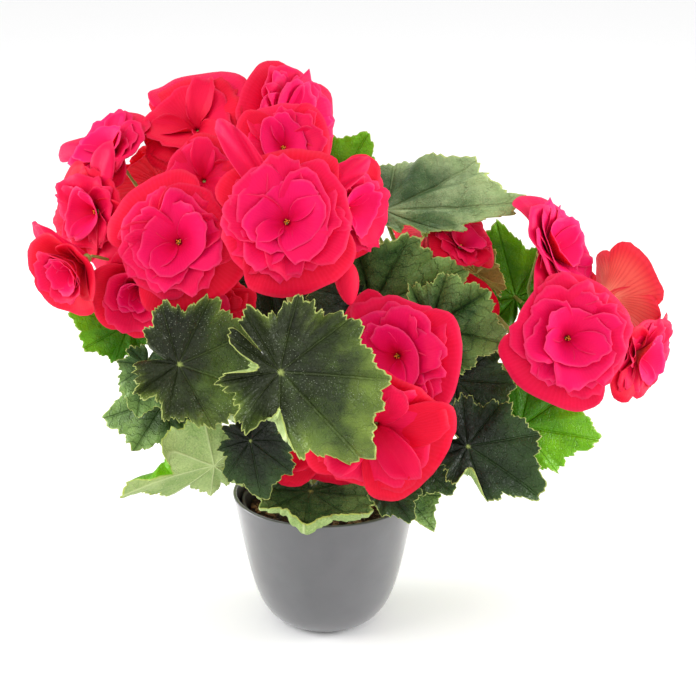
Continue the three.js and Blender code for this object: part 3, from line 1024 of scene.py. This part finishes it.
# Each whorl from the outside in: petals, length and width as shares of the flower's size,
# slope at root and tip, turn, how far up the heart it grows in millimetres, ruffle, torn edge,
# and tone from red to pink
outerWhorls = [
    {"petals": 2, "length": 0.53, "width": 0.78, "root": 46, "tip": -16, "turn": 0,
     "grown": 0, "ruffle": 0.03, "torn": 0.012, "tone": 0.0},
    {"petals": 2, "length": 0.49, "width": 0.66, "root": 50, "tip": -6, "turn": 90,
     "grown": 0.8, "ruffle": 0.04, "torn": 0.04, "tone": 0.2},
    {"petals": 4, "length": 0.43, "width": 0.6, "root": 52, "tip": 4, "turn": 35,
     "grown": 1.6, "ruffle": 0.045, "torn": 0.09, "tone": 0.45},
]
innerWhorls = [
    {"petals": 2, "length": 0.37, "width": 0.66, "root": 54, "tip": 16, "turn": 80,
     "grown": 2.4, "ruffle": 0.035, "torn": 0.06, "tone": 0.65},
    {"petals": 2, "length": 0.3, "width": 0.6, "root": 58, "tip": 34, "turn": 20,
     "grown": 3.2, "ruffle": 0.02, "torn": 0.05, "tone": 0.8},
]
plainWhorls = [
    {"petals": 3, "length": 0.42, "width": 0.7, "root": 52, "tip": 10, "turn": 35,
     "grown": 1.6, "ruffle": 0.05, "torn": 0.05, "tone": 0.45},
]
cupWhorls = [
    {"petals": 3, "length": 0.6, "width": 0.66, "root": 66, "tip": 16, "turn": 0,
     "grown": 0, "ruffle": 0.03, "torn": 0.01, "tone": 0.0},
    {"petals": 3, "length": 0.52, "width": 0.56, "root": 74, "tip": 40, "turn": 60,
     "grown": 1.5, "ruffle": 0.04, "torn": 0.06, "tone": 0.4},
    {"petals": 4, "length": 0.42, "width": 0.42, "root": 78, "tip": 56, "turn": 20,
     "grown": 3, "ruffle": 0.03, "torn": 0.06, "tone": 0.8},
]
whorls = {
    "full": outerWhorls + innerWhorls,
    "small": outerWhorls + innerWhorls[1:],
    "plain": outerWhorls[:2] + plainWhorls,
    "cup": cupWhorls,
}
# How much one petal of a whorl differs from the next
petalVariety = {
    "turn": 9,
    "length": (0.92, 1.03),
    "width": (0.94, 1.1),
    "tip": 9,
    "tone": 0.12,
    "phase": 6,
}
# A narrow petal that stands out behind a flower
tepalShape = {"root": 40, "tip": -26, "grown": 0, "ruffle": 0.03, "torn": 0.01, "tone": 0.4}
# Eye in millimetres, the way the flower looks, its size in millimetres, how much pinker it is,
# and its tepals: angle from its right, length and width as shares of its size
flowers = [
    {"eye": (-79, -62, 255), "turn": -55, "face": (-3, 18), "size": 75},
    {"eye": (-19, -72, 270), "turn": -80, "face": (0, 25), "size": 80,
     "tepals": [(38, 0.74, 0.18), (124, 0.88, 0.18)]},
    {"eye": (-75, 4, 309), "turn": 110, "face": (-20, 45), "size": 64, "kind": "plain", "tone": -0.35,
     "tepals": [(98, 0.64, 0.9)]},
    {"eye": (-17, 14, 309), "face": (45, 25), "size": 70, "tone": 0.25},
    {"eye": (-22, -24, 301), "face": (0, 35), "size": 53, "kind": "small"},
    {"eye": (-66, -33, 284), "face": (0, 30), "size": 48, "kind": "plain"},
    {"eye": (-124, 0, 294), "face": (-45, 45), "size": 56, "kind": "small", "tone": 0.35,
     "tepals": [(190, 0.8, 0.3)]},
    {"eye": (-132, -27, 262), "face": (-35, 5), "size": 56, "kind": "small",
     "tepals": [(72, 0.8, 0.3), (-52, 0.85, 0.5)]},
    {"eye": (-136, -53, 238), "face": (-32, -13), "size": 58, "kind": "cup",
     "tepals": [(150, 0.66, 0.26)]},
    {"eye": (-103, -43, 222), "face": (-5, -5), "size": 59, "kind": "cup", "tone": 0.1},
    {"eye": (19, -32, 265), "face": (48, 2), "size": 57, "kind": "small"},
    {"eye": (-62, -42, 212), "face": (0, -10), "size": 46, "kind": "small", "tone": -0.4},
    {"eye": (39, -59, 187), "turn": -4, "face": (-15, 10), "size": 77, "tone": 0.3},
    {"eye": (31, -83, 151), "turn": -25, "face": (5, -5), "size": 82, "kind": "plain", "tone": -0.2},
    {"eye": (1, -47, 138), "turn": -8, "face": (0, -5), "size": 77, "kind": "plain", "tone": -0.6},
    {"eye": (82, 12, 236), "face": (35, 50), "size": 42, "kind": "small", "tone": -0.1},
    {"eye": (140, -45, 194), "turn": 235, "face": (10, 15), "size": 76, "tone": 0.2},
    {"eye": (136, 0, 236), "face": (60, 30), "size": 70, "tone": 0.6,
     "tepals": [(212, 0.8, 0.36), (240, 0.7, 0.3)]},
    {"eye": (171, 8, 204), "face": (125, 15), "size": 66, "kind": "cup", "back": "salmon"},
    {"eye": (187, -16, 173), "face": (45, -8), "size": 56, "kind": "small", "back": "salmon"},
    {"eye": (82, 10, 195), "face": (-10, 15), "size": 40, "kind": "small"},
    {"eye": (66, 90, 230), "face": (160, 30), "size": 66},
    {"eye": (-96, 56, 262), "face": (205, 30), "size": 76},
    {"eye": (152, 86, 184), "face": (140, 20), "size": 64, "kind": "small"},
]
flowerTurn = 47  # degrees that one flower is turned from the last
eyeHeight = 0.2  # of a flower's eye above its root, as a share of its size
heartShape = {
    "segments": 16,
    "rings": 8,
    "radius": 0.0028,
    "squash": 0.75,
    "height": 0.0005,
    "plain height": -0.001,
    "eye height": 0.09,
    "stamens": 7,
    "stamen radius": 0.0006,
    "stamen shape": (0.7, 0.7, 1.4, 1),
    "stamen angle": 2.4,  # in radians, from one to the next
    "stamen drop": 0.0002,
}


# How far a petal's edge is torn out or in, and how far it is folded up or down, at a bearing
# from its middle. The phase's factors only keep the patterns apart
def petalRuffle(petal, along, bearing):
    phase = petal["phase"]
    coarse, fine = petalShape["tear scales"]
    torn = noise.noise(Vector((bearing * coarse, phase * 7, 0)))
    torn += 0.5 * noise.noise(Vector((bearing * fine, phase * 5, 3)))
    aside, out = petalShape["fold scales"]
    folded = noise.noise(Vector((bearing * aside, along * out, phase * 9)))
    return 1 + petal["torn"] * along**3 * torn * 2, petal["ruffle"] * along**2 * folded * 2


# A petal's point on a cup round the flower's axis: rays from its root out to its edge
def petalPoint(petal, size, along, across):
    bearing = across * math.pi * petalShape["shut"]
    tear, fold = petalRuffle(petal, along, bearing)
    share = along * tear * ((1 + math.cos(bearing)) / 2) ** petalShape["taper"]
    wide = math.sin(bearing) + petalShape["lean"] * across
    aside = along * tear * 0.5 * petal["width"] * size * wide
    start = math.radians(petal["root"])
    bend = math.radians(petal["tip"] - petal["root"])
    slope = start + bend * share
    length = petal["length"] * size
    out = petalShape["start"] + length * (math.sin(slope) - math.sin(start)) / bend
    rise = length * (math.cos(start) - math.cos(slope)) / bend
    slant = out / math.cos(slope)
    reach = math.hypot(slant, aside)
    swing = petal["turn"] + math.atan2(aside, slant) / math.cos(slope)
    flat = reach * math.cos(slope)
    lift = petal["grown"] * mm + rise + (reach - slant) * math.sin(slope) + fold * size
    return Vector((flat * math.cos(swing), flat * math.sin(swing), lift))


def addPetal(bm, petal, size, place):
    uv = bm.loops.layers.uv["UVMap"]
    tone = bm.verts.layers.float["tone"]
    rows, columns = petalShape["rows"], petalShape["columns"]
    verts = bmesh.ops.create_grid(bm, x_segments=columns, y_segments=rows, size=0.5)["verts"]
    for face in {face for vert in verts for face in vert.link_faces}:
        for loop in face.loops:
            loop[uv].uv = (loop.vert.co.x + 0.5, loop.vert.co.y + 0.5)
    for vert in verts:
        vert[tone] = petal["tone"]
        vert.co = place @ petalPoint(petal, size, vert.co.y + 0.5, -2 * vert.co.x)


# The place of a thing whose root is at a point and whose own Z looks in a direction
def frameOf(root, z):
    x = Vector((0, 0, 1)).cross(z).normalized()
    y = z.cross(x)
    return Matrix.Translation(root) @ Matrix((x, y, z)).transposed().to_4x4()


def variedPetal(whorl, i, tone):
    vary = petalVariety
    turn = 360 * i / whorl["petals"] + whorl["turn"] + random.uniform(-vary["turn"], vary["turn"])
    return {
        **whorl,
        "turn": math.radians(turn),
        "length": whorl["length"] * random.uniform(*vary["length"]),
        "width": whorl["width"] * random.uniform(*vary["width"]),
        "tip": whorl["tip"] + random.uniform(-vary["tip"], vary["tip"]),
        "tone": min(1, max(0, whorl["tone"] + tone + random.uniform(-vary["tone"], vary["tone"]))),
        "phase": random.uniform(0, vary["phase"]),
    }


def makeFlower(number, flower):
    random.seed(number)
    size = flower["size"] * mm
    z = facing(*flower["face"])
    root = Vector(flower["eye"]) * mm - z * eyeHeight * size
    turn = flower.get("turn", flowerTurn * (number - 1))
    kind = flower.get("kind", "full")
    place = frameOf(root, z) @ Matrix.Rotation(math.radians(turn), 4, "Z")
    bm = bmesh.new()
    bm.loops.layers.uv.new("UVMap")
    bm.verts.layers.float.new("tone")
    for whorl in whorls[kind]:
        for i in range(whorl["petals"]):
            addPetal(bm, variedPetal(whorl, i, flower.get("tone", 0)), size, place)
    for angle, length, width in flower.get("tepals", []):
        own = {"turn": math.radians(angle - turn), "length": length, "width": width, "phase": number}
        addPetal(bm, {**tepalShape, **own}, size, place)
    mergeDoubles(bm)
    made = [materials["petal"], petalBacks[flower.get("back", "red")]]
    petals = addPiece(f"bloom{number:02d}", bm, f"bloom_{number:02d}", made)
    thicken(petals, petalShape["thickness"])
    makeHeart(number, place, size, kind == "plain")


# The green foot that the petals grow from, and the yellow eye in their middle, which a
# plain flower hides
def makeHeart(number, place, size, plain):
    shape = heartShape
    bm = bmesh.new()
    height = shape["plain height"] if plain else shape["height"]
    foot = Matrix.Translation((0, 0, height)) @ Matrix.Diagonal((1, 1, shape["squash"], 1))
    segments, rings = shape["segments"], shape["rings"]
    bmesh.ops.create_uvsphere(
        bm, u_segments=segments, v_segments=rings, radius=shape["radius"], matrix=place @ foot,
    )
    ground = len(bm.faces)
    radius = shape["stamen radius"]
    stretch = Matrix.Diagonal(shape["stamen shape"])
    for i in range(0 if plain else shape["stamens"]):
        angle = i * shape["stamen angle"]
        out = radius * math.sqrt(i)
        top = shape["eye height"] * size - shape["stamen drop"] * i
        stand = Matrix.Translation((out * math.cos(angle), out * math.sin(angle), top))
        bmesh.ops.create_icosphere(bm, subdivisions=1, radius=radius, matrix=place @ stand @ stretch)
    secondMaterial(bm, ground)
    made = [materials["stem"], materials["eye"]]
    addPiece(f"bloomHeart{number:02d}", bm, f"bloom_{number:02d}", made)


for number, flower in enumerate(flowers, 1):
    makeFlower(number, flower)
print("flowers made")


# Buds: two petals shut face to face

budShape = {
    "width": 0.3,
    "narrowing": 0.35,
    "flatness": 0.55,
    "seam": 0.16,
    "seam width": 0.12,
    "rows": 16,
    "columns": 24,
    "tone": 0.15,
}
buds = [
    {"at": (12, -60, 244), "face": (20, -68), "size": 25},
    {"at": (-14, 72, 258), "face": (180, -60), "size": 22},
]


def makeBud(number, bud):
    shape = budShape
    size = bud["size"] * mm
    place = frameOf(Vector(bud["at"]) * mm, facing(*bud["face"]))
    bm = bmesh.new()
    bm.loops.layers.uv.new("UVMap")
    tone = bm.verts.layers.float.new("tone")
    rows, columns = shape["rows"], shape["columns"]
    bmesh.ops.create_uvsphere(bm, u_segments=columns, v_segments=rows, radius=1, calc_uvs=True)
    for vert in bm.verts:
        x, y, z = vert.co
        along = (z + 1) / 2
        fat = shape["width"] * (1 - shape["narrowing"] * along**2)
        seam = 1 - shape["seam"] * math.exp(-((y / shape["seam width"]) ** 2)) * along
        vert.co = place @ Vector((x * fat * seam * size, y * fat * shape["flatness"] * size, along * size))
        vert[tone] = shape["tone"]
    addPiece(f"bud{number}", bm, f"bud_{number}", [materials["petal"]])


for number, bud in enumerate(buds, 1):
    makeBud(number, bud)
print("buds made")


# Floor and light

studio = {
    "floor": (250, 250, 250),
    "floor size": 14,
    "floor roughness": 0.8,
    "sky": 0.98,
    "aim": (0, 0, 0.17),
    "lamps": [
        {"name": "key", "at": (-1.3, -0.9, 1.5), "size": 0.9, "power": 9},
        {"name": "fill", "at": (1.5, 0.05, 0.3), "size": 1.0, "power": 27},
        {"name": "left fill", "at": (-1.5, 0.1, 0.3), "size": 1.0, "power": 24},
        {"name": "front", "at": (0.3, -2.0, 1.2), "size": 1.6, "power": 6},
        {"name": "top", "at": (0.1, 0.5, 1.7), "size": 1.0, "power": 6},
    ],
}


def makeLamp(lamp):
    data = bpy.data.lights.new(lamp["name"], "AREA")
    data.shape = "DISK"
    data.size = lamp["size"]
    data.energy = lamp["power"]
    light = addObject(lamp["name"], data)
    light.location = lamp["at"]
    aim(light, Vector(studio["aim"]) - light.location)


def makeStudio():
    paint = Paint("pale floor", Roughness=studio["floor roughness"], Base_Color=colour(*studio["floor"]))
    bm = bmesh.new()
    bmesh.ops.create_grid(bm, x_segments=1, y_segments=1, size=studio["floor size"])
    floor = addMesh("floor", bm, [paint.material])
    for lamp in studio["lamps"]:
        makeLamp(lamp)
    world = bpy.data.worlds.new("studio")
    world.use_nodes = True
    sky = world.node_tree.nodes["Background"]
    sky.inputs["Color"].default_value = (1, 1, 1, 1)
    sky.inputs["Strength"].default_value = studio["sky"]
    bpy.context.scene.world = world
    bpy.context.scene.view_settings.view_transform = "Standard"


makeStudio()
print("studio set")
